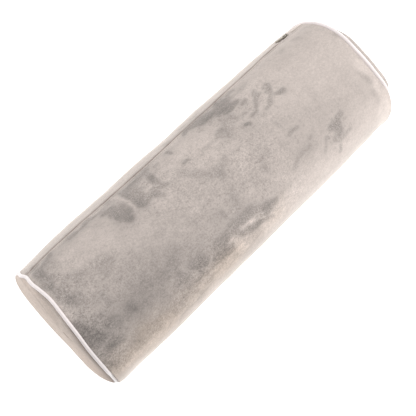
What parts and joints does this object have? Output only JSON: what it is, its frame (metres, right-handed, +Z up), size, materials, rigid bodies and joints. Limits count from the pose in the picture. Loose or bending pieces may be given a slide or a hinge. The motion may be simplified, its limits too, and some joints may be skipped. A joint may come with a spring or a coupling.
{
  "type": "neck roll pillow",
  "caption": "Cylindrical neck roll pillow in short-pile velvet, with softly crowned round ends, contrast piping in the end seams and a concealed zip along the side.",
  "frame": {"origin": "middle of the footprint, on the surface that the roll lies on", "axes": "+X along the roll towards the end with the zip slider, +Y across the roll towards the side with the zip, +Z up"},
  "size_m": [0.5234, 0.1836, 0.1751],
  "materials": {
    "velvet": "short-pile polyester velvet, warm pale grey, with darker patches where the nap is brushed the other way",
    "piping": "satin-covered cord, white with a slight blush",
    "zip_metal": "dark brownish gunmetal lacquer, worn bright on the edges"
  },
  "bodies": {
    "root": {"roll_body": "velvet", "end_disc_near": "velvet", "end_disc_far": "velvet", "piping_near": "piping", "piping_far": "piping", "zip_slider": "zip_metal", "zip_pull": "zip_metal"}
  },
  "joints": []
}
